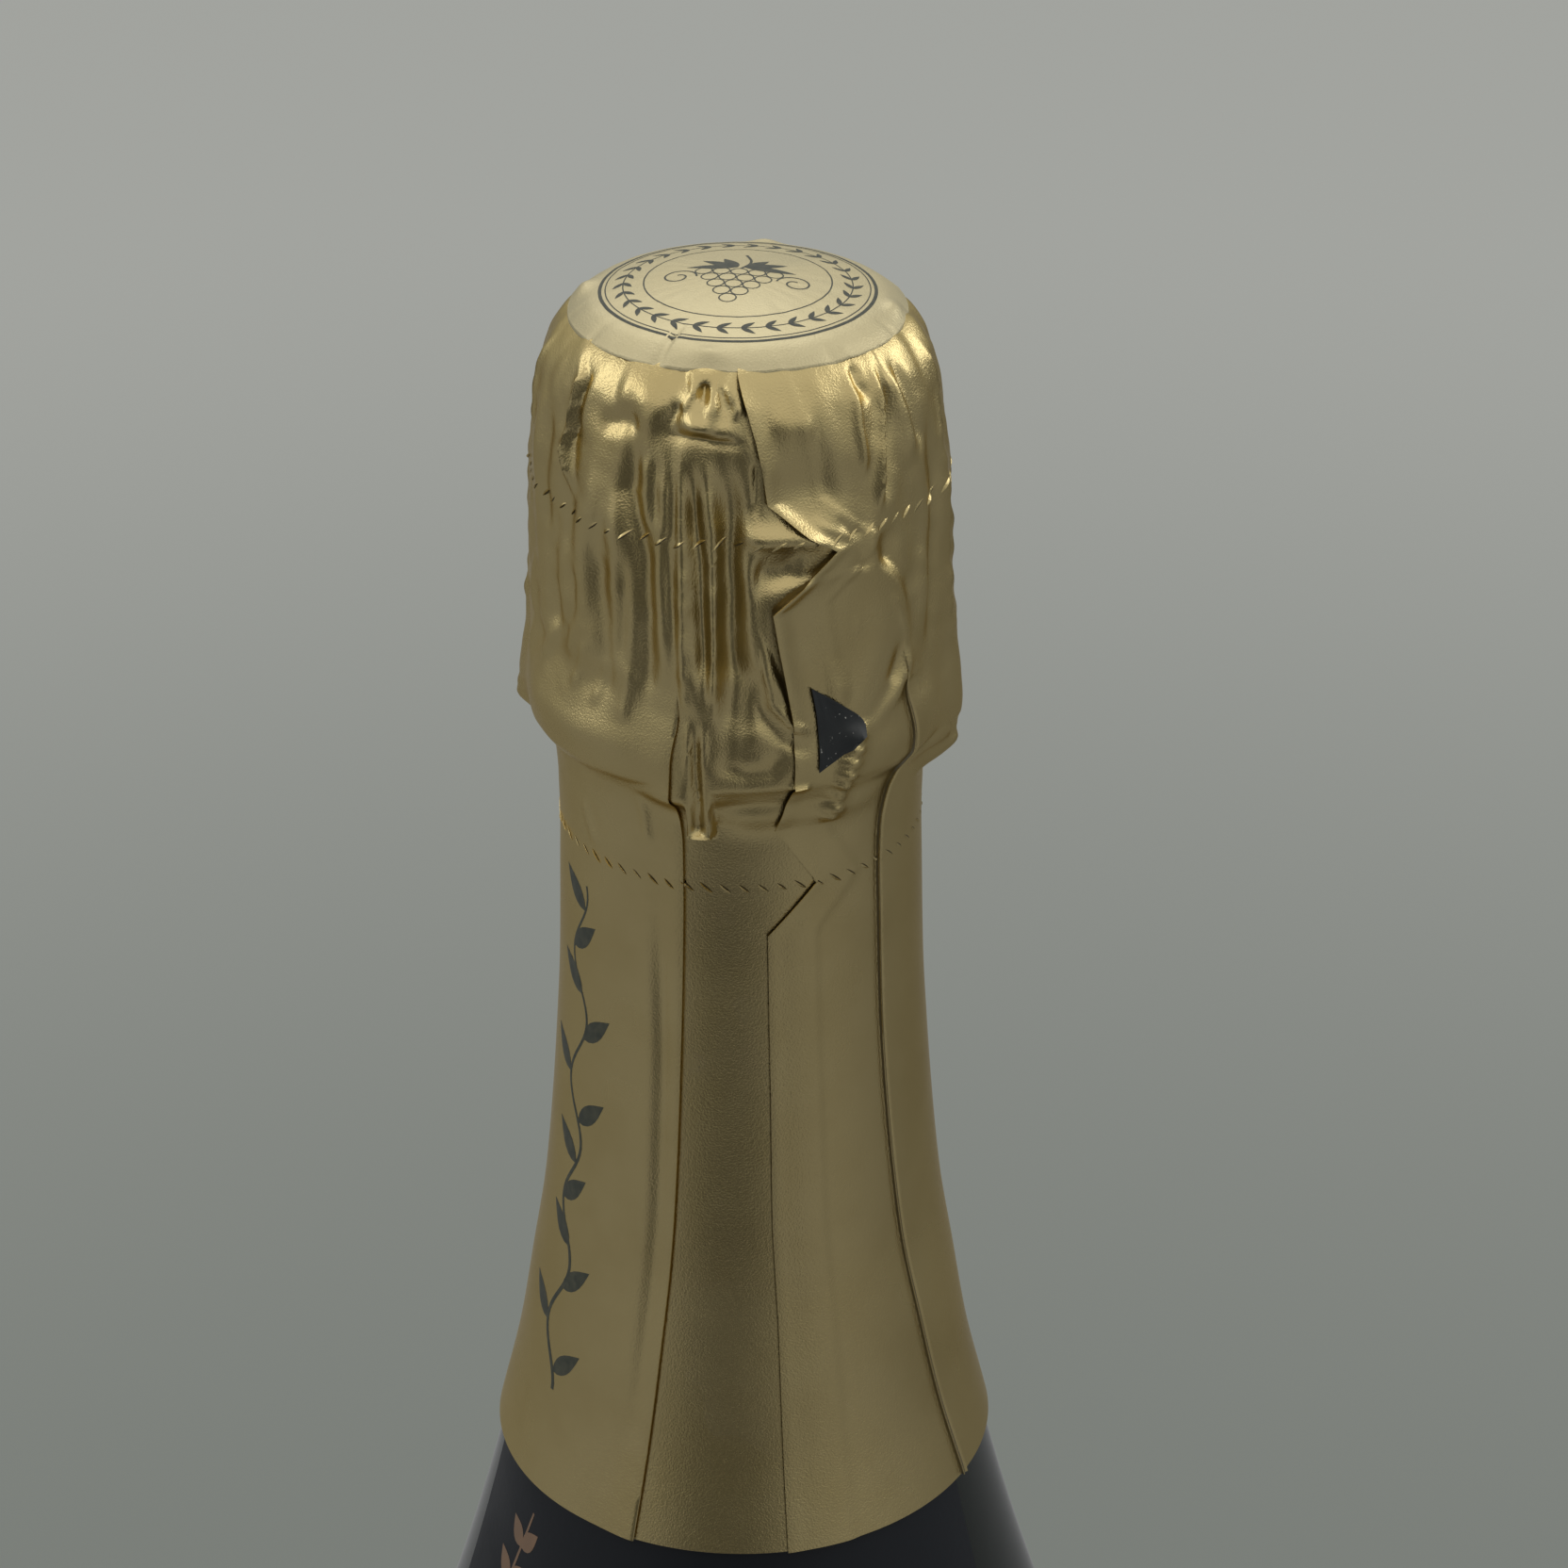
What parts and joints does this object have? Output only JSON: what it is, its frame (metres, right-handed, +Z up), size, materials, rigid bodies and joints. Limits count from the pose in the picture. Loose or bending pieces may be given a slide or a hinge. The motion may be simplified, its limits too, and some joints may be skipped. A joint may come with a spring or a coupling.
{
  "type": "champagne bottle",
  "caption": "Sealed 75 cl sparkling wine bottle with punt, mushroom cork, wire cage, metal cap and a gold foil capsule that tears open along a strip.",
  "frame": {"origin": "centre of the circle that the bottle stands on", "axes": "+Z up along the bottle's axis, -Y out of the front label"},
  "size_m": [0.088, 0.0886, 0.3186],
  "materials": {
    "dark_glass": "very dark green bottle glass, polished",
    "wine": "clear pale gold liquid",
    "cork_body": "ground and glued cork granules, matt",
    "cork_disc": "natural cork disc, matt",
    "cap_metal": "gold lacquered tinplate",
    "cage_wire": "bright galvanised steel wire",
    "foil_crown": "pale gold satin foil with a dark printed ring",
    "foil_skirt": "satin gold laminated foil, wrinkled",
    "tear_tab": "matt black film",
    "neck_label": "coated near-black navy paper with a copper border",
    "body_label": "coated near-black navy paper with a copper border"
  },
  "bodies": {
    "bottle": {"glass_bottle": "dark_glass", "wine": "wine", "foil_lower_skirt": "foil_skirt", "neck_label": "neck_label", "front_label": "body_label", "back_label": "body_label"},
    "cork": {"cork_body": "cork_body", "cork_disc_upper": "cork_disc", "cork_disc_lower": "cork_disc"},
    "cage": {"cage_wire": "cage_wire", "belt_wire": "cage_wire", "muselet_cap": "cap_metal"},
    "key_twist": {"key_root": "cage_wire"},
    "key": {"key_stem": "cage_wire", "key_ring": "cage_wire"},
    "tear_band": {"foil_tear_band": "foil_skirt"},
    "tear_tab": {"foil_tear_tab": "tear_tab"},
    "hood": {"foil_crown_disc": "foil_crown", "foil_upper_skirt": "foil_skirt"}
  },
  "joints": [
    {"name": "cork_draw", "type": "slide", "parent": "bottle", "child": "cork", "axis": [0, 0, 1], "range_m": [0, 0.05]},
    {"name": "cage_lift", "type": "slide", "parent": "cork", "child": "cage", "axis": [0, 0, 1], "range_m": [0, 0.045], "deforming": ["cage_wire", "belt_wire"]},
    {"name": "key_turn", "type": "hinge", "parent": "cage", "child": "key_twist", "pos_m": [0.01047, -0.0139, 0.28085], "axis": [0.6018, -0.7986, 0], "range_deg": [0, 1080]},
    {"name": "key_fold", "type": "hinge", "parent": "key_twist", "child": "key", "pos_m": [0.01047, -0.0139, 0.28085], "axis": [0.7986, 0.6018, 0], "range_deg": [0, 95]},
    {"name": "tear_band_lift", "type": "slide", "parent": "cage", "child": "tear_band", "axis": [0, 0, 1], "range_m": [0, 0.06], "deforming": ["foil_tear_band"]},
    {"name": "tab_peel", "type": "hinge", "parent": "tear_band", "child": "tear_tab", "pos_m": [0.00918, -0.01656, 0.2865], "axis": [0, 0, -1], "range_deg": [0, 150]},
    {"name": "hood_lift", "type": "slide", "parent": "tear_band", "child": "hood", "axis": [0, 0, 1], "range_m": [0, 0.05]}
  ],
  "couplings": [
    {"joint": "key_fold", "follows": "tear_band_lift", "rad_per_m": 27.6}
  ]
}
